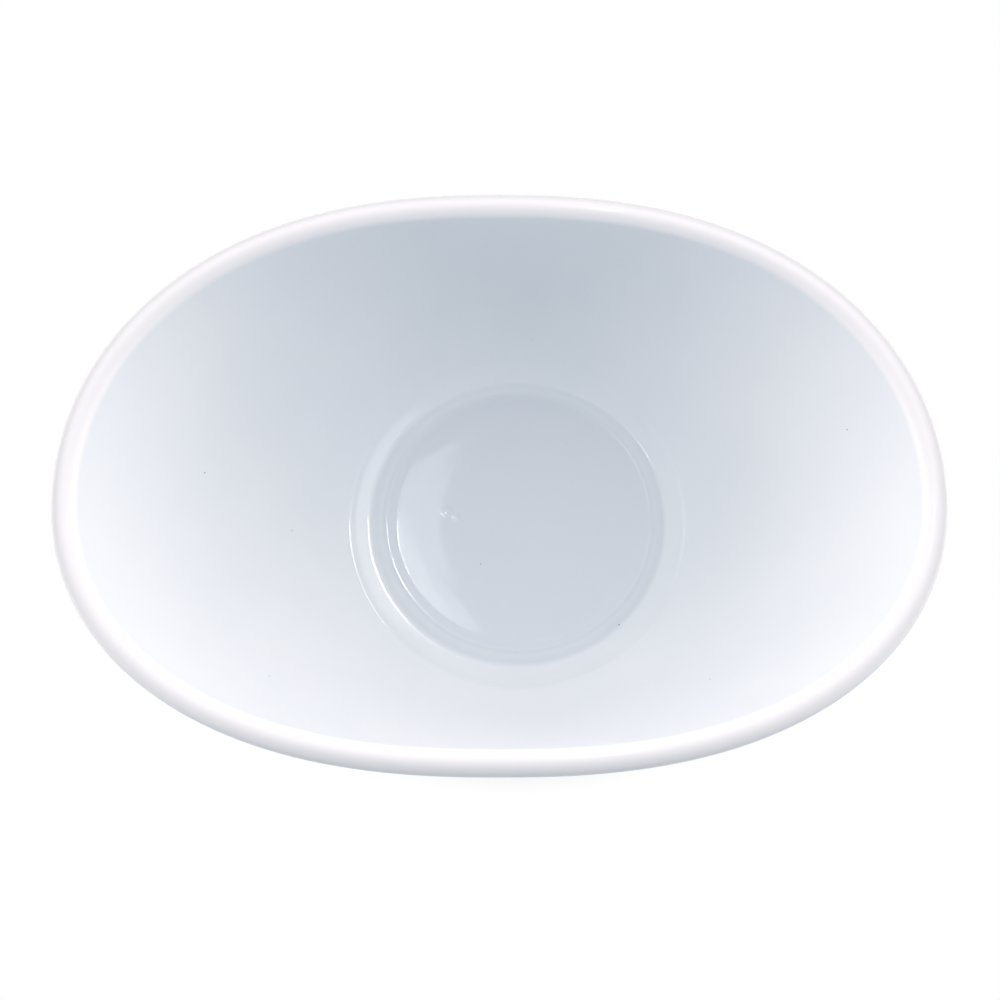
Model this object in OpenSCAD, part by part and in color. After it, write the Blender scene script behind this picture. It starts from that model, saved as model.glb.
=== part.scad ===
// Shallow oval bedpan of vitreous-enamelled sheet steel.
// One drawn steel shell with a hollow rolled rim carries a ground coat and a cover coat of
// enamel on each side. Lengths in mm, +Z up, X along the length.
// The origin is on the standing plane, under the middle of the overall length and width.

/* [Rim] */
// Overall length over the rolled rim
rim_length = 360; // [290:1:440]
// Overall width over the rolled rim
rim_width = 242.2; // [200:0.1:300]
// Flatness of the oval's two long sides (2 is an ellipse)
side_flatness = 2.4; // [2:0.05:2.6]
// Flatness of the oval's two ends (2 is an ellipse)
end_flatness = 2.05; // [2:0.05:2.6]
// Distance of the widest line from the middle of the width, towards the front
rim_fullest_offset = 7; // [0:0.1:10]
// How far the rim sweeps down from the sides to the two ends
rim_end_drop = 8; // [0:0.5:14]
// Diameter of the rolled rim over its enamel
bead_diameter = 11.2; // [8:0.1:14]
// Gap between the rolled sheet's coated edge and the coated outside of the wall
edge_gap = 0.3; // [0.1:0.05:1]

/* [Bowl] */
// Height from the standing plane to the top of the rim at the sides
bowl_height = 68; // [55:0.5:90]
// Wall slope below the rim at the two ends
end_wall_slope = 46; // [35:1:58]
// Wall slope below the rim at the two sides
side_wall_slope = 70; // [58:1:78]
// Wall slope where it leaves the base at the two ends
end_heel_slope = 8; // [6:1:20]
// Wall slope where it leaves the base at the two sides
side_heel_slope = 20; // [15:1:40]

/* [Base] */
// Diameter of the circle from which the walls rise
heel_diameter = 142; // [120:0.1:160]
// Distance of the base from the middle of the length
base_offset = 7.9; // [0:0.1:15]
// Distance of the base from the middle of the width, towards the front
base_forward = 1.4; // [0:0.1:10]
// Width of the shoulder, from the heel circle in to the standing ring
shoulder_width = 9.4; // [7:0.1:12]
// Slope of the shoulder
shoulder_slope = 4; // [2:0.1:6]
// Width of the flat that touches the table, in the middle of the standing ring
foot_flat = 1; // [0.8:0.1:1.2]
// Width of the step, from the standing ring in to the raised border
step_width = 6.5; // [5:0.1:12]
// Slope of the step at its steepest
step_slope = 28; // [28:1:40]
// Width of the raised border, from the step in to the dished floor
border_width = 4.3; // [2:0.1:6]
// Slope of the raised border
border_slope = 8; // [5:0.5:8]
// Slope of the dished floor at its edge
dish_slope = 4.4; // [1:0.1:4.4]

/* [Sheet and enamel] */
// Thickness of the steel sheet
sheet_thickness = 1; // [0.7:0.05:1.5]
// Thickness of each ground coat
ground_thickness = 0.1; // [0.08:0.01:0.2]
// Thickness of each cover coat
cover_thickness = 0.16; // [0.12:0.01:0.3]

/* [Resolution] */
// Facets around the bowl
facets_around = 48; // [32:4:56]
// Bands of facets up the wall
wall_bands = 6; // [4:1:8]

/* [Hidden] */

wall_handle = 0.36;      // length of the wall curve's handles, as a share of its chord

// Depth of each boundary below the inside surface, from the inside of the bowl outwards
inside_surface = 0;
ground_surface = cover_thickness;
sheet_inside = ground_surface + ground_thickness;
sheet_outside = sheet_inside + sheet_thickness;
outer_ground_surface = sheet_outside + ground_thickness;
outside_surface = outer_ground_surface + cover_thickness;

bead_radius = bead_diameter / 2;
half_length = rim_length / 2 - bead_radius;
back_half_width = rim_width / 2 + rim_fullest_offset - bead_radius;
front_half_width = rim_width / 2 - rim_fullest_offset - bead_radius;
bead_height = bowl_height - bead_radius;
heel_radius = heel_diameter / 2;
foot_radius = heel_radius - shoulder_width;
panel_radius = foot_radius - step_width;
dish_radius = panel_radius - border_width;
base_centre = [base_offset, -base_forward, 0];
around = [for (i = [0 : facets_around - 1]) 360 * i / facets_around];

// One meridian of the base, from its middle out to the heel circle. Each entry is a radius
// and the slope there, positive where the base rises outwards.
base_turns = [
    [0, 0],
    [0.4 * dish_radius, 0.12 * dish_slope],
    [0.75 * dish_radius, 0.6 * dish_slope],
    [dish_radius, dish_slope],
    [dish_radius + 0.15 * border_width, border_slope],
    [dish_radius + 0.95 * border_width, border_slope],
    [panel_radius + 0.14 * step_width, -0.7 * step_slope],
    [panel_radius + 0.8 * step_width, -step_slope],
    [foot_radius - foot_flat / 2, 0],
    [foot_radius + foot_flat / 2, 0],
    [foot_radius + 0.1 * shoulder_width, 1.6 * shoulder_slope],
    [foot_radius + 0.2 * shoulder_width, shoulder_slope],
    [foot_radius + 0.75 * shoulder_width, 0.4 * shoulder_slope],
    [heel_radius, 0.4 * shoulder_slope],
];
foot_turn = 8;

// The same entries with their height above the standing ring between radius and slope
function climb(k) =
    k == 0 ? 0 : climb(k - 1) + (base_turns[k][0] - base_turns[k - 1][0])
        * (tan(base_turns[k][1]) + tan(base_turns[k - 1][1])) / 2;
base_rows = [for (k = [0 : len(base_turns) - 1])
    [base_turns[k][0], climb(k) - climb(foot_turn), base_turns[k][1]]];

// Directions round the rolled rim: 90 is the top and 0 the outermost line. The roll stops
// where its coated edge is edge_gap from the wall.
bead_rows = [90, 60, 30, 0, -30, -60, -90, -120];
edge_turn = 360 - acos((bead_radius - outside_surface - edge_gap) / bead_radius);

function signed_power(v, p) = sign(v) * pow(abs(v), p);
function mix(a, b, t) = a + (b - a) * t;
function flat_unit(v) = v / norm([v.x, v.y]);

// Centre line of the rolled rim: an oval of powers whose back half is deeper than its front half
function half_width(angle) = sin(angle) >= 0 ? back_half_width : front_half_width;
function bead_centre(angle) =
    let (u = signed_power(cos(angle), 2 / side_flatness),
         v = signed_power(sin(angle), 2 / end_flatness))
    [half_length * u, half_width(angle) * v - rim_fullest_offset, bead_height - rim_end_drop * u * u];

// Horizontal direction square to the rim, pointing outwards
function rim_outward(angle) =
    let (p = side_flatness, q = end_flatness)
    flat_unit([p * signed_power(cos(angle), 2 - 2 / p) / half_length,
               q * signed_power(sin(angle), 2 - 2 / q) / half_width(angle), 0]);

function side_share(angle) = pow(sin(angle), 2);
function wall_slope(angle) = mix(end_wall_slope, side_wall_slope, side_share(angle));
function heel_slope(angle) = mix(end_heel_slope, side_heel_slope, side_share(angle));

// Point of the rolled rim at a direction round its section, for a surface lying at a depth
function bead_point(angle, turn, depth) =
    bead_centre(angle)
    + (bead_radius - depth) * (cos(turn) * rim_outward(angle) + [0, 0, sin(turn)]);

// Direction in which each wall meridian runs, level, from the base's axis to the rim
function outward(angle) =
    let (reach = bead_point(angle, 90 + wall_slope(angle), 0) - base_centre)
    flat_unit([reach.x, reach.y, 0]);

// Point of the base for one of its rows
function base_point(angle, row, depth) =
    base_centre
    + outward(angle) * (row[0] + depth * sin(row[2]))
    + [0, 0, outside_surface + row[1] - depth * cos(row[2])];

// Point of the wall: a cubic curve from the heel circle up to the rolled rim
function wall_point(angle, share, depth) =
    let (out = outward(angle),
         low = heel_slope(angle),
         high = wall_slope(angle),
         heel = base_point(angle, base_rows[len(base_rows) - 1], depth),
         top = bead_point(angle, 90 + high, depth),
         reach = wall_handle * norm(top - heel),
         rise = (out * rim_outward(angle)) * tan(high),
         start = out * cos(low) + [0, 0, sin(low)],
         finish = (out + [0, 0, rise]) / norm([1, rise]),
         a = heel + reach * start,
         b = top - reach * finish,
         s = 1 - share)
    s * s * s * heel + 3 * s * s * share * a + 3 * s * share * share * b + share * share * share * top;

function bead_turns(angle) =
    let (first = 90 + wall_slope(angle))
    concat([mix(first, 90, 0.5)], bead_rows, [first - edge_turn]);

// Rings of points, from the middle of the base to the end of the rolled rim or of the wall
function base_rings(depth) =
    [for (k = [1 : len(base_rows) - 1]) [for (a = around) base_point(a, base_rows[k], depth)]];
function wall_rings(depth) =
    [for (k = [1 : wall_bands]) [for (a = around) wall_point(a, k / wall_bands, depth)]];
function bead_rings(depth) =
    [for (k = [0 : len(bead_rows) + 1]) [for (a = around) bead_point(a, bead_turns(a)[k], depth)]];
function inside_rings(depth) = concat(base_rings(depth), wall_rings(depth), bead_rings(depth));
function outside_rings(depth) = concat(base_rings(depth), wall_rings(depth));

// Triangles of one surface, seen from above if up is true, and of the edge that joins two
function ring_faces(rings, first, up) =
    let (n = facets_around)
    [for (r = [0 : rings - 2]) for (i = [0 : n - 1])
        let (a = first + r * n + i,
             b = first + r * n + (i + 1) % n,
             c = b + n,
             d = a + n)
        each up ? [[a, b, c], [a, c, d]] : [[a, c, b], [a, d, c]]];
function middle_faces(middle, first, up) =
    let (n = facets_around)
    [for (i = [0 : n - 1])
        let (a = first + i,
             b = first + (i + 1) % n)
        up ? [middle, b, a] : [middle, a, b]];
function edge_faces(upper, lower) =
    let (n = facets_around)
    [for (i = [0 : n - 1])
        let (j = (i + 1) % n)
        each [[upper + i, lower + j, lower + i], [upper + i, upper + j, lower + j]]];

// A closed skin between two surfaces, each given as its rings of points and its depth
module skin(upper_rings, upper_depth, lower_rings, lower_depth) {
    n = facets_around;
    count = len(upper_rings);
    upper = [for (ring = upper_rings) each ring];
    lower = [for (ring = lower_rings) each ring];
    upper_middle = base_point(0, base_rows[0], upper_depth);
    lower_middle = base_point(0, base_rows[0], lower_depth);
    first_upper = 1;
    first_lower = first_upper + len(upper) + 1;
    polyhedron(
        points = concat([upper_middle], upper, [lower_middle], lower),
        faces = concat(
            middle_faces(0, first_upper, true),
            ring_faces(count, first_upper, true),
            middle_faces(first_lower - 1, first_lower, false),
            ring_faces(count, first_lower, false),
            edge_faces(first_upper + (count - 1) * n, first_lower + (count - 1) * n)),
        convexity = 6);
}

module inside_skin(upper, lower) {
    skin(inside_rings(upper), upper, inside_rings(lower), lower);
}

module outside_skin(upper, lower) {
    skin(outside_rings(upper), upper, outside_rings(lower), lower);
}

module steel_shell() {
    color([0.47, 0.48, 0.5]) inside_skin(sheet_inside, sheet_outside);
}

module ground_coat_inside() {
    color([0.13, 0.15, 0.24]) inside_skin(ground_surface, sheet_inside);
}

module cover_coat_inside() {
    color([0.94, 0.95, 0.96]) inside_skin(inside_surface, ground_surface);
}

module ground_coat_outside() {
    color([0.13, 0.15, 0.24]) outside_skin(sheet_outside, outer_ground_surface);
}

module cover_coat_outside() {
    color([0.94, 0.95, 0.96]) outside_skin(outer_ground_surface, outside_surface);
}

steel_shell();
ground_coat_inside();
cover_coat_inside();
ground_coat_outside();
cover_coat_outside();
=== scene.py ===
import math

import bpy
import numpy as np
from mathutils import Matrix, Vector


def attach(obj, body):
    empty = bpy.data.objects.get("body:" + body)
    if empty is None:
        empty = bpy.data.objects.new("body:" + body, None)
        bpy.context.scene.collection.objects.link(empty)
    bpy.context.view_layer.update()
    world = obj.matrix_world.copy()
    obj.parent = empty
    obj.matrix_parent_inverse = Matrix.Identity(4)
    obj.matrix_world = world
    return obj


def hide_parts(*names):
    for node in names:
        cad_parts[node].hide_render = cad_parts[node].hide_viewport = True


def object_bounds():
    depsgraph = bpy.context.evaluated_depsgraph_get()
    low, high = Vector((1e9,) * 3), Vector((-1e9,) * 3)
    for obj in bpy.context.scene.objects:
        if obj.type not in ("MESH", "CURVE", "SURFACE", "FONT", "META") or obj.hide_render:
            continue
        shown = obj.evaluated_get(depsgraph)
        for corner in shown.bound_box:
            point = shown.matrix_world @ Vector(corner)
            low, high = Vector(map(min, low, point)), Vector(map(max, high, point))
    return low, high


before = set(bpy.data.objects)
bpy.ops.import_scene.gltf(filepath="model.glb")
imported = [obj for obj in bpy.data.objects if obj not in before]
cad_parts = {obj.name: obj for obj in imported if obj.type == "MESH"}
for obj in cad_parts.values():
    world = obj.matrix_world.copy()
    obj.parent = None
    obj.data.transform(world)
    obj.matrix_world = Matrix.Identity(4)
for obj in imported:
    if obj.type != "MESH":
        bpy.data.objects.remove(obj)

mm = 0.001
cadBox = [[float(value) for value in corner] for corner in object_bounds()]
cadSize = [high - low for low, high in zip(*cadBox)]
print("frame loaded, box in mm:", [round(value / mm, 2) for value in cadSize])


viewpoint = {
    "target": (0, -5.6 * mm, 62.4 * mm),
    "elevation": 74,
    "distance": 1.1976,
    "across": 0.24 * mm,
    "down": 3.23 * mm,
    "lens": 108,
    "sensor": 36,
}


# stands back from the target along the line of sight, then slides the camera sideways and down
def placeCamera():
    tilt = math.radians(viewpoint["elevation"])
    back = Vector((0, -math.cos(tilt), math.sin(tilt)))
    right = Vector((1, 0, 0))
    up = back.cross(right)
    place = Vector(viewpoint["target"]) + viewpoint["distance"] * back
    place += viewpoint["across"] * right - viewpoint["down"] * up
    data = bpy.data.cameras.new("camera")
    data.lens = viewpoint["lens"]
    data.sensor_width = viewpoint["sensor"]
    camera = bpy.data.objects.new("camera", data)
    bpy.context.collection.objects.link(camera)
    camera.matrix_world = Matrix.Translation(place) @ back.to_track_quat("Z", "Y").to_matrix().to_4x4()
    bpy.context.scene.camera = camera


placeCamera()
print("camera placed")


rim = {
    "length": cadSize[0],
    "width": cadSize[1],
    "sideFlatness": 2.4,
    "endFlatness": 2.05,
    "fullestOffset": 7 * mm,
    "endDrop": 8 * mm,
    "beadDiameter": 11.2 * mm,
    "edgeGap": 0.3 * mm,
}
wall = {
    "height": cadSize[2],
    "endSlope": 46,
    "sideSlope": 70,
    "endHeelSlope": 8,
    "sideHeelSlope": 20,
    "handle": 0.36,
}
base = {
    "offset": 7.9 * mm,
    "forward": 1.4 * mm,
    "heelDiameter": 142 * mm,
    "shoulderWidth": 9.4 * mm,
    "shoulderSlope": 4,
    "stepWidth": 6.5 * mm,
    "stepSlope": 28,
    "borderWidth": 4.3 * mm,
    "borderSlope": 8,
    "dishSlope": 4.4,
}
coats = {
    "cover": 0.16 * mm,
    "ground": 0.1 * mm,
    "sheet": 1 * mm,
}
detail = {
    "around": 224,
    "baseStep": 0.5 * mm,
    "wallRows": 26,
    "wallCrowding": 1.5,
    "beadStep": 9,
    "lipRows": 6,
}

groundDepth = coats["cover"]
sheetTopDepth = groundDepth + coats["ground"]
sheetUnderDepth = sheetTopDepth + coats["sheet"]
outerGroundDepth = sheetUnderDepth + coats["ground"]
fullDepth = outerGroundDepth + coats["cover"]

beadRadius = rim["beadDiameter"] / 2
angles = np.arange(detail["around"]) * 2 * math.pi / detail["around"]
upwards = np.array([0.0, 0.0, 1.0])


def signedPower(value, power):
    # the power of the size, with the sign put back
    return np.sign(value) * np.abs(value) ** power


def halfWidth():
    # the back half of the oval is deeper than the front half by twice the offset
    middle = rim["width"] / 2 - beadRadius
    return np.where(np.sin(angles) >= 0, middle + rim["fullestOffset"], middle - rim["fullestOffset"])


# centre line of the rolled rim: an oval of powers, which drops towards the ends with the square of x
def rimCentre():
    u = signedPower(np.cos(angles), 2 / rim["sideFlatness"])
    v = signedPower(np.sin(angles), 2 / rim["endFlatness"])
    x = (rim["length"] / 2 - beadRadius) * u
    y = halfWidth() * v - rim["fullestOffset"]
    z = wall["height"] - beadRadius - rim["endDrop"] * u * u
    return np.stack([x, y, z], axis=-1)


# level direction square to the oval: its gradient, made one long
def rimOutward():
    p, q = rim["sideFlatness"], rim["endFlatness"]
    x = p * signedPower(np.cos(angles), 2 - 2 / p) / (rim["length"] / 2 - beadRadius)
    y = q * signedPower(np.sin(angles), 2 - 2 / q) / halfWidth()
    size = np.hypot(x, y)
    return np.stack([x / size, y / size, 0 * x], axis=-1)


def blendToSides(atEnds, atSides):
    # from the ends to the sides with the square of the sine
    return atEnds + (atSides - atEnds) * np.sin(angles) ** 2


# points round the rolled tube: centre + (radius - depth) (cos turn outwards + sin turn upwards)
def beadPoints(turns, depth):
    turns, depth = np.broadcast_arrays(np.asarray(turns, float), depth)
    ring = np.cos(turns)[..., None] * rimOutward() + np.sin(turns)[..., None] * upwards
    return rimCentre() + (beadRadius - depth)[..., None] * ring


wallSlope = np.radians(blendToSides(wall["endSlope"], wall["sideSlope"]))
heelSlope = np.radians(blendToSides(wall["endHeelSlope"], wall["sideHeelSlope"]))
wallTurn = math.pi / 2 + wallSlope
baseCentre = np.array([base["offset"], -base["forward"], 0.0])


# level direction from the middle of the base to the top of the wall
def meridianDirection():
    reach = (beadPoints(wallTurn, 0) - baseCentre) * [1, 1, 0]
    return reach / np.linalg.norm(reach, axis=-1, keepdims=True)


meridian = meridianDirection()


# radius and slope at each turn of the base, from its middle out to the heel circle. It rises where the slope
# is positive, and the standing ring is where the slope passes nothing between the step and the shoulder
def baseTurns():
    heel, shoulder, shoulderSlope = base["heelDiameter"] / 2, base["shoulderWidth"], base["shoulderSlope"]
    step, stepSlope = base["stepWidth"], base["stepSlope"]
    border, borderSlope = base["borderWidth"], base["borderSlope"]
    foot = heel - shoulder
    panel = foot - step
    dish = panel - border
    return np.array([
        [0, 0],
        [0.4 * dish, 0.12 * base["dishSlope"]],
        [0.75 * dish, 0.6 * base["dishSlope"]],
        [dish, base["dishSlope"]],
        [dish + 0.15 * border, borderSlope],
        [dish + 0.8 * border, borderSlope],
        [dish + 0.93 * border, 0.67 * borderSlope],
        [panel, 0.58 * borderSlope],
        [panel + 0.14 * step, -0.7 * stepSlope],
        [panel + 0.74 * step, -stepSlope],
        [foot + 0.1 * shoulder, 1.6 * shoulderSlope],
        [foot + 0.2 * shoulder, shoulderSlope],
        [foot + 0.68 * shoulder, shoulderSlope],
        [foot + 0.78 * shoulder, 0.6 * shoulderSlope],
        [foot + 0.9 * shoulder, 0.6 * shoulderSlope],
        [heel, 2 * shoulderSlope],
    ])


# radius, height and slope along the base: the slope eases from turn to turn, and the height adds it up
# and counts from the standing ring
def baseRows():
    turns = baseTurns()
    radius = np.unique(np.concatenate([np.arange(0, turns[-1, 0], detail["baseStep"]), turns[:, 0]]))
    turn = np.clip(np.searchsorted(turns[:, 0], radius, side="right") - 1, 0, len(turns) - 2)
    share = (radius - turns[turn, 0]) / (turns[turn + 1, 0] - turns[turn, 0])
    share = share * share * (3 - 2 * share)
    slope = np.radians(turns[turn, 1] * (1 - share) + turns[turn + 1, 1] * share)
    climb = (np.tan(slope[1:]) + np.tan(slope[:-1])) / 2 * np.diff(radius)
    height = np.concatenate([[0], np.cumsum(climb)])
    return radius, height - height.min(), slope


# each row of the base moved square to itself by the depth, on every meridian
def basePoints(radius, height, slope, depth):
    along = (radius + depth * np.sin(slope))[:, None, None] * meridian
    return baseCentre + along + (fullDepth + height - depth * np.cos(slope))[:, None, None] * upwards


# cubic curve from the heel circle up to the rolled rim, leaving at the heel slope and ending at the wall
# slope, with its rows closer together near the heel
def wallPoints(depth):
    radius, height, slope = baseRows()
    heel = basePoints(radius[-1:], height[-1:], slope[-1:], depth)[0]
    top = beadPoints(wallTurn, depth)
    reach = wall["handle"] * np.linalg.norm(top - heel, axis=-1, keepdims=True)
    rise = (np.sum(meridian * rimOutward(), axis=-1) * np.tan(wallSlope))[:, None]
    first = heel + reach * (np.cos(heelSlope)[:, None] * meridian + np.sin(heelSlope)[:, None] * upwards)
    last = top - reach * (meridian + rise * upwards) / np.sqrt(1 + rise ** 2)
    t = ((np.arange(1, detail["wallRows"] + 1) / detail["wallRows"]) ** detail["wallCrowding"])[:, None, None]
    s = 1 - t
    return s ** 3 * heel + 3 * s * s * t * first + 3 * s * t * t * last + t ** 3 * top


def edgeTurn():
    # angle round the tube at which the rolled edge comes back to edgeGap from the wall
    return 2 * math.pi - math.acos((beadRadius - fullDepth - rim["edgeGap"]) / beadRadius)


# rows over the top of the tube and round to its edge, stopping short of the edge by that length
def rolledRows(depth, short):
    stop = edgeTurn() - short / beadRadius
    count = int(math.degrees(stop) / detail["beadStep"])
    share = (np.arange(1, count + 1) / count)[:, None]
    return beadPoints(wallTurn - stop * share, depth)


# half circle of enamel over the cut edge of the sheet, from the outside of the roll to its inside
def lipRows():
    half = fullDepth / 2
    phi = np.linspace(0, math.pi, detail["lipRows"] + 1)[1:, None]
    along = half * np.sin(phi) / (beadRadius - half)
    start = wallTurn - (edgeTurn() - half / beadRadius)
    return beadPoints(start - along, half - half * np.cos(phi) + 0 * angles)


# rows of points from the middle of the base to the top of the wall, then round the roll if it is wanted
def bowlSurface(depth, rolled, short=0, lip=False):
    rows = [basePoints(*baseRows(), depth), wallPoints(depth)]
    if rolled:
        rows.append(rolledRows(depth, short))
    if lip:
        rows.append(lipRows())
    return np.concatenate(rows)


# fan of triangles round the middle point, then squares between neighbouring rows
def surfaceFaces(rows, first, facingUp):
    n = detail["around"]
    ring = np.arange(n)
    following = (ring + 1) % n
    start = first + 1
    fan = np.stack([np.full(n, first), start + ring, start + following], axis=-1)
    level = start + n * np.arange(rows - 2)[:, None]
    squares = np.stack([level + ring, level + n + ring, level + n + following, level + following], axis=-1)
    squares = squares.reshape(-1, 4)
    if not facingUp:
        fan, squares = fan[:, ::-1], squares[:, ::-1]
    return fan, squares


# angle past the top of the rolled tube towards its outside, nothing on the wall and the base
def rollAngle(surface):
    fromCentre = surface - rimCentre()
    outwards = np.sum(fromCentre * rimOutward(), axis=-1)
    angle = math.pi / 2 - np.arctan2(fromCentre[..., 2], outwards)
    return np.where(outwards > 0, np.maximum(angle, 0), 0)


# mesh of the layer between two surfaces, closed at its outer edge, with the roll angle kept at each point
def closedSkin(name, upper, lower):
    n = detail["around"]
    points, rolls, faces, starts = [], [], [], []
    first = 0
    for surface, facingUp in ((upper, True), (lower, False)):
        roll = rollAngle(surface)
        points += [surface[0, :1], surface[1:].reshape(-1, 3)]
        rolls += [roll[0, :1], roll[1:].ravel()]
        faces += surfaceFaces(len(surface), first, facingUp)
        first += 1 + n * (len(surface) - 1)
        starts.append(first - n)
    ring = np.arange(n)
    following = (ring + 1) % n
    faces.append(np.stack([starts[0] + ring, starts[1] + ring,
                           starts[1] + following, starts[0] + following], axis=-1))
    mesh = bpy.data.meshes.new(name)
    mesh.from_pydata(np.concatenate(points), [], [face for block in faces for face in block.tolist()])
    mesh.polygons.foreach_set("use_smooth", np.ones(len(mesh.polygons), dtype=bool))
    mesh.attributes.new("roll", "FLOAT", "POINT").data.foreach_set("value", np.concatenate(rolls))
    mesh.validate()
    mesh.update()
    piece = bpy.data.objects.new(name, mesh)
    bpy.context.collection.objects.link(piece)
    print(name, "made,", sum(len(block) * (len(block[0]) - 2) for block in faces), "triangles")
    return piece


def newMaterial(name):
    material = bpy.data.materials.new(name)
    material.use_nodes = True
    tree = material.node_tree
    tree.nodes.clear()
    output = tree.nodes.new("ShaderNodeOutputMaterial")
    shader = tree.nodes.new("ShaderNodeBsdfPrincipled")
    tree.links.new(shader.outputs["BSDF"], output.inputs["Surface"])
    return material, tree, shader


# adds a node, sets its own settings, and sets or links the inputs that are named
def addNode(tree, kind, settings=None, **values):
    node = tree.nodes.new(kind)
    for key, value in (settings or {}).items():
        setattr(node, key, value)
    for key, value in values.items():
        socket = node.inputs[int(key[1:])] if key[0] == "_" else node.inputs[key]
        if isinstance(value, bpy.types.NodeSocket):
            tree.links.new(value, socket)
        else:
            socket.default_value = value
    return node


def calc(tree, operation, first, second=0.0, third=0.0):
    return addNode(tree, "ShaderNodeMath", {"operation": operation}, _0=first, _1=second, _2=third).outputs[0]


def noise(tree, place, scale, detailLevel=2.0, rough=0.5):
    return addNode(tree, "ShaderNodeTexNoise", None, Vector=place, Scale=scale, Detail=detailLevel,
                   Roughness=rough).outputs["Fac"]


def spread(tree, value, low, high, toLow, toHigh):
    # carries the range low..high over to toLow..toHigh, smoothly
    return addNode(tree, "ShaderNodeMapRange", {"interpolation_type": "SMOOTHSTEP"}, Value=value,
                   _1=low, _2=high, _3=toLow, _4=toHigh).outputs[0]


def blend(tree, share, first, second):
    return addNode(tree, "ShaderNodeMix", {"data_type": "RGBA"}, _0=share, _6=first, _7=second).outputs[2]


# one for rays from the camera, from a mirror image or through glass, nothing for the rays that light the pan
def seenRays(tree):
    path = addNode(tree, "ShaderNodeLightPath")
    seen = calc(tree, "MAXIMUM", path.outputs["Is Camera Ray"], path.outputs["Is Glossy Ray"])
    return calc(tree, "MAXIMUM", seen, path.outputs["Is Transmission Ray"])


insideWhite = {
    "colour": (0.755, 0.797, 0.835, 1),
    "cloud": (0.735, 0.782, 0.825, 1),
    # rim: painted light, a whiter colour standing in for the stronger light on the top of the roll
    "rim": (0.885, 0.885, 0.905, 1),
    # painted shade in the dish at the bottom of the bowl, darker and bluer
    "dishShade": (0.63, 0.68, 0.735, 1),
    # painted shade on the outside of the roll
    "edge": (0.635, 0.66, 0.685, 1),
    "speck": (0.10, 0.11, 0.14, 1),
    "roughness": 0.4,
    "bodyShine": 0.25,
    "gloss": 0.35,
    "glossRoughness": 0.03,
    "glossIor": 1.52,
    "cloudScale": 16,
    "waveScale": 34,
    "wearScale": 70,
    "speckScale": 140.0,
    "peelScale": 260,
    "bumpDistance": 0.005 * mm,
    # centre height, radius and outer end of the painted shade in the dish
    "dishShadeHeight": 2.5 * mm,
    "dishShadeRadius": 54 * mm,
    "dishShadeEnd": 58 * mm,
}
outsideWhite = {**insideWhite, "glossRoughness": 0.04}


# small dent in the dish, made of round pits: x, y and radius in metres, depth in steps of the bump distance
dentHeight = 2.6 * mm
dent = [
    (-21.6 * mm, 3.3 * mm, 3.4 * mm, 28),
    (-17.8 * mm, 0.8 * mm, 2.6 * mm, 24),
]
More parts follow.
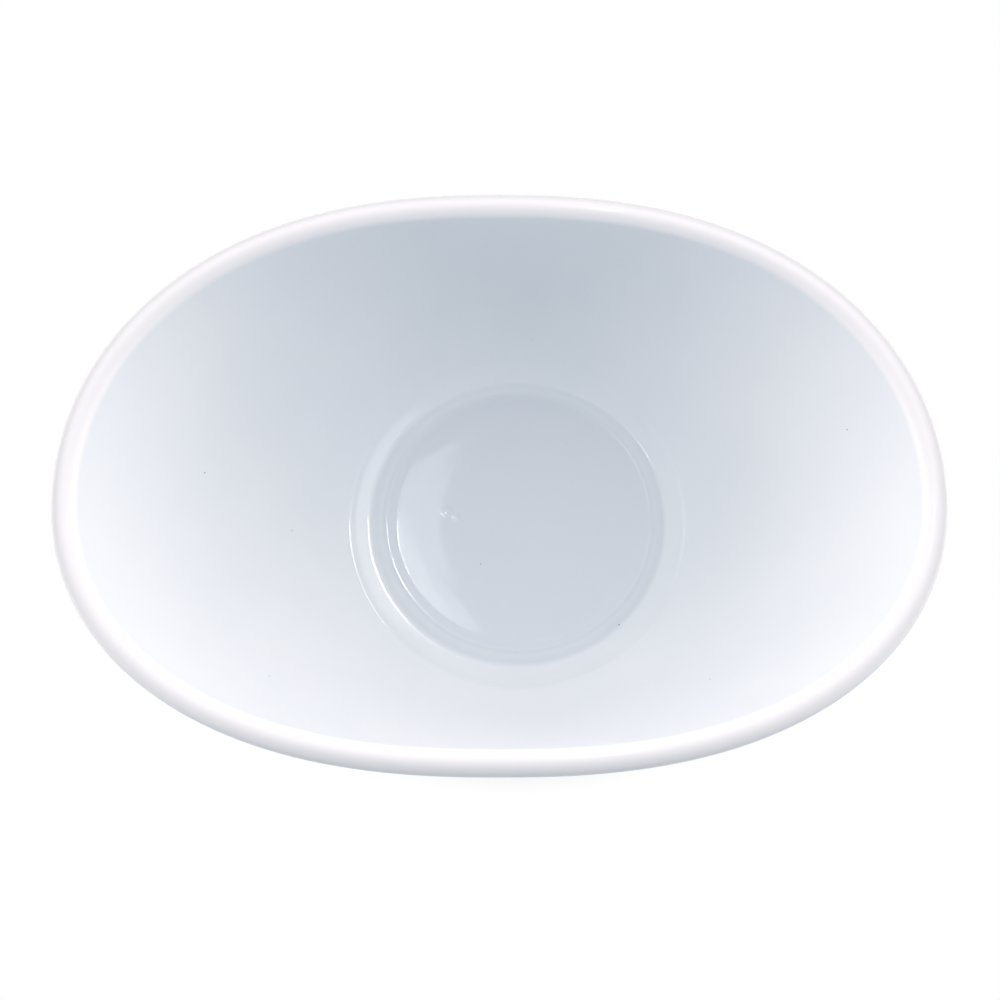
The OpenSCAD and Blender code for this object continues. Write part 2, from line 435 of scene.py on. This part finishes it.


# white enamel, cloudy under a thin gloss: faint clouds, a few pinholes with dark bottoms but none on the
# rim, orange peel and slow waves. Painted light makes it whiter on the rim, painted shade makes the outside
# of the roll greyer towards the ends and the back, and painted shade makes the dish darker and bluer
def whiteEnamel(name, look):
    material, tree, shader = newMaterial(name)
    place = addNode(tree, "ShaderNodeTexCoord").outputs["Object"]
    cloud = spread(tree, noise(tree, place, look["cloudScale"], 3), 0.35, 0.65, 0, 1)
    colour = blend(tree, cloud, look["colour"], look["cloud"])
    parts = addNode(tree, "ShaderNodeSeparateXYZ", None, _0=place)
    across = calc(tree, "DIVIDE", parts.outputs["X"], rim["length"] / 2 - beadRadius)
    # mask of the top of the rolled rim: there painted light makes the colour whiter, and the pinholes leave
    # it out
    acrossSquare = calc(tree, "MULTIPLY", across, across)
    raised = calc(tree, "MULTIPLY_ADD", acrossSquare, rim["endDrop"], parts.outputs["Z"])
    onRim = spread(tree, raised, wall["height"] - 0.75 * beadRadius, wall["height"] - 0.25 * beadRadius, 0, 1)
    colour = blend(tree, onRim, colour, look["rim"])
    # painted shade on the outside of the roll, growing with the roll angle and stronger towards the back
    roll = addNode(tree, "ShaderNodeAttribute", {"attribute_name": "roll"}).outputs["Fac"]
    thin = spread(tree, roll, 0.0, 0.8, 0, 1)
    thin = calc(tree, "MULTIPLY", thin, spread(tree, parts.outputs["Y"], -110 * mm, 0.0, 0.15, 1))
    colour = blend(tree, calc(tree, "MULTIPLY", thin, onRim), colour, look["edge"])
    # painted shade over the dish: darker and bluer inside the radius, fading out towards the end
    fromMiddle = addNode(tree, "ShaderNodeVectorMath", {"operation": "DISTANCE"}, _0=place,
                         _1=(baseCentre[0], baseCentre[1], look["dishShadeHeight"])).outputs["Value"]
    pooled = spread(tree, fromMiddle, look["dishShadeRadius"], look["dishShadeEnd"], 1, 0)
    colour = blend(tree, pooled, colour, look["dishShade"])
    cells = addNode(tree, "ShaderNodeTexVoronoi", None, Vector=place, Scale=look["speckScale"])
    pick = addNode(tree, "ShaderNodeSeparateColor", None, _0=cells.outputs["Color"])
    size = spread(tree, pick.outputs[0], 0.7, 1.0, 0.0, 0.05)
    speck = spread(tree, calc(tree, "SUBTRACT", cells.outputs["Distance"], size), -0.012, 0.0, 1, 0)
    speck = calc(tree, "MULTIPLY", speck, calc(tree, "SUBTRACT", 1.0, onRim))
    colour = blend(tree, speck, colour, look["speck"])
    tree.links.new(colour, shader.inputs["Base Color"])
    wear = spread(tree, noise(tree, place, look["wearScale"], 4), 0.35, 0.7,
                  look["glossRoughness"], 1.7 * look["glossRoughness"])
    tree.links.new(wear, shader.inputs["Coat Roughness"])
    shader.inputs["Roughness"].default_value = look["roughness"]
    shader.inputs["Specular IOR Level"].default_value = look["bodyShine"]
    shader.inputs["Coat Weight"].default_value = look["gloss"]
    shader.inputs["Coat IOR"].default_value = look["glossIor"]
    peel = noise(tree, place, look["peelScale"], 2)
    waves = noise(tree, place, look["waveScale"], 1)
    height = calc(tree, "MULTIPLY_ADD", waves, 2.0, peel)
    height = calc(tree, "MULTIPLY_ADD", speck, -3.0, height)
    for x, y, radius, depth in dent:
        reach = addNode(tree, "ShaderNodeVectorMath", {"operation": "DISTANCE"}, _0=place,
                        _1=(x, y, dentHeight)).outputs["Value"]
        height = calc(tree, "ADD", height, spread(tree, reach, 0.1 * radius, radius, -depth, 0))
    bump = addNode(tree, "ShaderNodeBump", None, Strength=1.0, Distance=look["bumpDistance"], Height=height)
    tree.links.new(bump.outputs[0], shader.inputs["Normal"])
    tree.links.new(bump.outputs[0], shader.inputs["Coat Normal"])
    return material


groundLook = {"colour": (0.012, 0.016, 0.045, 1), "pale": (0.03, 0.035, 0.07, 1), "roughness": 0.18}
steelLook = {"colour": (0.42, 0.43, 0.45, 1), "pale": (0.52, 0.53, 0.55, 1), "roughness": 0.38}


# dark blue-black first coat, mottled where it boiled in the fire
def groundEnamel():
    material, tree, shader = newMaterial("groundEnamel")
    place = addNode(tree, "ShaderNodeTexCoord").outputs["Object"]
    mottle = spread(tree, noise(tree, place, 420, 4), 0.4, 0.7, 0, 1)
    tree.links.new(blend(tree, mottle, groundLook["colour"], groundLook["pale"]), shader.inputs["Base Color"])
    shader.inputs["Roughness"].default_value = groundLook["roughness"]
    bump = addNode(tree, "ShaderNodeBump", None, Strength=0.6, Distance=0.01 * mm, Height=mottle)
    tree.links.new(bump.outputs[0], shader.inputs["Normal"])
    return material


# drawn and pickled sheet: a grey metal with fine grain drawn out along the pan
def pickledSteel():
    material, tree, shader = newMaterial("pickledSteel")
    place = addNode(tree, "ShaderNodeTexCoord").outputs["Object"]
    drawn = addNode(tree, "ShaderNodeMapping", None, Vector=place, Scale=(0.1, 1, 1)).outputs[0]
    grain = noise(tree, drawn, 900, 4)
    tree.links.new(blend(tree, grain, steelLook["colour"], steelLook["pale"]), shader.inputs["Base Color"])
    tree.links.new(spread(tree, grain, 0.3, 0.7, steelLook["roughness"], 1.3 * steelLook["roughness"]),
                   shader.inputs["Roughness"])
    shader.inputs["Metallic"].default_value = 1
    return material


def finish(piece, material, node):
    piece.data.materials.append(material)
    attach(piece, "root")
    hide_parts(node)


lipDepth = fullDepth / 2
coverInside = closedSkin("coverCoatInside",
                         bowlSurface(0, True, lipDepth, lip=True),
                         bowlSurface(groundDepth, True, lipDepth))
finish(coverInside, whiteEnamel("whiteEnamelInside", insideWhite), "cover_coat_inside")
groundInside = closedSkin("groundCoatInside",
                          bowlSurface(groundDepth, True, lipDepth),
                          bowlSurface(sheetTopDepth, True, lipDepth))
ground = groundEnamel()
finish(groundInside, ground, "ground_coat_inside")
sheet = closedSkin("steelShell",
                   bowlSurface(sheetTopDepth, True, lipDepth),
                   bowlSurface(sheetUnderDepth, True, lipDepth))
finish(sheet, pickledSteel(), "steel_shell")
groundOutside = closedSkin("groundCoatOutside",
                           bowlSurface(sheetUnderDepth, False),
                           bowlSurface(outerGroundDepth, False))
finish(groundOutside, ground, "ground_coat_outside")
coverOutside = closedSkin("coverCoatOutside",
                          bowlSurface(outerGroundDepth, False),
                          bowlSurface(fullDepth, False))
finish(coverOutside, whiteEnamel("whiteEnamelOutside", outsideWhite), "cover_coat_outside")


floorLook = {"size": 30.0, "colour": (0.55, 0.55, 0.55, 1), "shadowReach": 30 * mm, "shadow": 0.35}


# wide level square under the pan. It looks plain white, but for the shadow close under the walls
def layFloor():
    reach = floorLook["size"] / 2
    mesh = bpy.data.meshes.new("floor")
    mesh.from_pydata([(-reach, -reach, 0), (reach, -reach, 0), (reach, reach, 0), (-reach, reach, 0)],
                     [], [(0, 1, 2, 3)])
    floor = bpy.data.objects.new("floor", mesh)
    bpy.context.collection.objects.link(floor)
    material = bpy.data.materials.new("paleFloor")
    material.use_nodes = True
    tree = material.node_tree
    tree.nodes.clear()
    matt = addNode(tree, "ShaderNodeBsdfDiffuse", None, Color=floorLook["colour"])
    openness = addNode(tree, "ShaderNodeAmbientOcclusion", None,
                       Distance=floorLook["shadowReach"]).outputs["AO"]
    glow = addNode(tree, "ShaderNodeEmission", None, Color=(1, 1, 1, 1),
                   Strength=spread(tree, openness, 0.1, 1.0, floorLook["shadow"], 1))
    mixed = addNode(tree, "ShaderNodeMixShader", None, _0=seenRays(tree), _1=matt.outputs[0],
                    _2=glow.outputs[0])
    output = addNode(tree, "ShaderNodeOutputMaterial", None, Surface=mixed.outputs[0])
    mesh.materials.append(material)


room = {
    "overhead": (0.15, 0.25, 0.33, 1),
    "around": (4.65, 4.1, 3.85, 1),
    "dimFrom": -1.0,
    "brightFrom": 0.0,
    "dipFrom": 0.7,
    "farDip": 0.88,
    "power": 3.2,
    "skirt": 0.22,
    "skirtShare": 0.45,
}


# the room is bright low down on the left and right, and dim overhead, in front and straight behind. Its
# share of the bright colour is a power of the level part of the direction, times a smooth step from front
# to back, with a dip at the very back and less close to the floor
def lightWorld():
    world = bpy.data.worlds.new("studio")
    world.use_nodes = True
    tree = world.node_tree
    tree.nodes.clear()
    direction = addNode(tree, "ShaderNodeTexCoord").outputs["Generated"]
    parts = addNode(tree, "ShaderNodeSeparateXYZ", None, _0=direction)
    drop = calc(tree, "MULTIPLY", parts.outputs["Z"], parts.outputs["Z"])
    level = calc(tree, "SQRT", calc(tree, "SUBTRACT", 1.0, drop))
    back = calc(tree, "DIVIDE", parts.outputs["Y"], calc(tree, "MAXIMUM", level, 0.01))
    step = spread(tree, back, room["dimFrom"], room["brightFrom"], 0, 1)
    dip = spread(tree, back, room["dipFrom"], 1.0, 1, 1 - room["farDip"])
    low = spread(tree, parts.outputs["Z"], 0.0, room["skirt"], room["skirtShare"], 1)
    share = calc(tree, "POWER", level, room["power"])
    share = calc(tree, "MULTIPLY", share, calc(tree, "MULTIPLY", step, dip))
    share = calc(tree, "MULTIPLY", share, low)
    colour = blend(tree, share, room["overhead"], room["around"])
    light = addNode(tree, "ShaderNodeBackground", None, Color=colour, Strength=1.0)
    white = addNode(tree, "ShaderNodeBackground", None, Color=(1, 1, 1, 1), Strength=1.0)
    mixed = addNode(tree, "ShaderNodeMixShader", None, _0=seenRays(tree),
                    _1=light.outputs[0], _2=white.outputs[0])
    addNode(tree, "ShaderNodeOutputWorld", None, Surface=mixed.outputs[0])
    bpy.context.scene.world = world


lamps = {
    "softbox": {"place": (0.075, 0.39, 1.3), "width": 0.07, "length": 0.17, "radiance": 4.5},
    "softboxCore": {"place": (0.086, 0.43, 1.28), "width": 0.045, "length": 0.11, "radiance": 3.5},
    "strip": {"place": (0.115, 0.403, 1.26), "width": 0.018, "length": 0.1, "radiance": 100},
}


# rectangular lamp that faces the middle of the base; its power is pi times its area times its radiance
def addLamp(name, look):
    data = bpy.data.lights.new(name, "AREA")
    data.shape = "RECTANGLE"
    data.size, data.size_y = look["width"], look["length"]
    data.energy = math.pi * look["width"] * look["length"] * look["radiance"]
    lamp = bpy.data.objects.new(name, data)
    bpy.context.collection.objects.link(lamp)
    away = Vector(look["place"])
    lamp.matrix_world = (Matrix.Translation(Vector(baseCentre) + away)
                         @ Vector((0, 0, 1)).rotation_difference(away).to_matrix().to_4x4())
    lamp.visible_camera = False


layFloor()
lightWorld()
for name, look in lamps.items():
    addLamp(name, look)
bpy.context.scene.view_settings.view_transform = "Standard"
print("floor, lamps and world set")
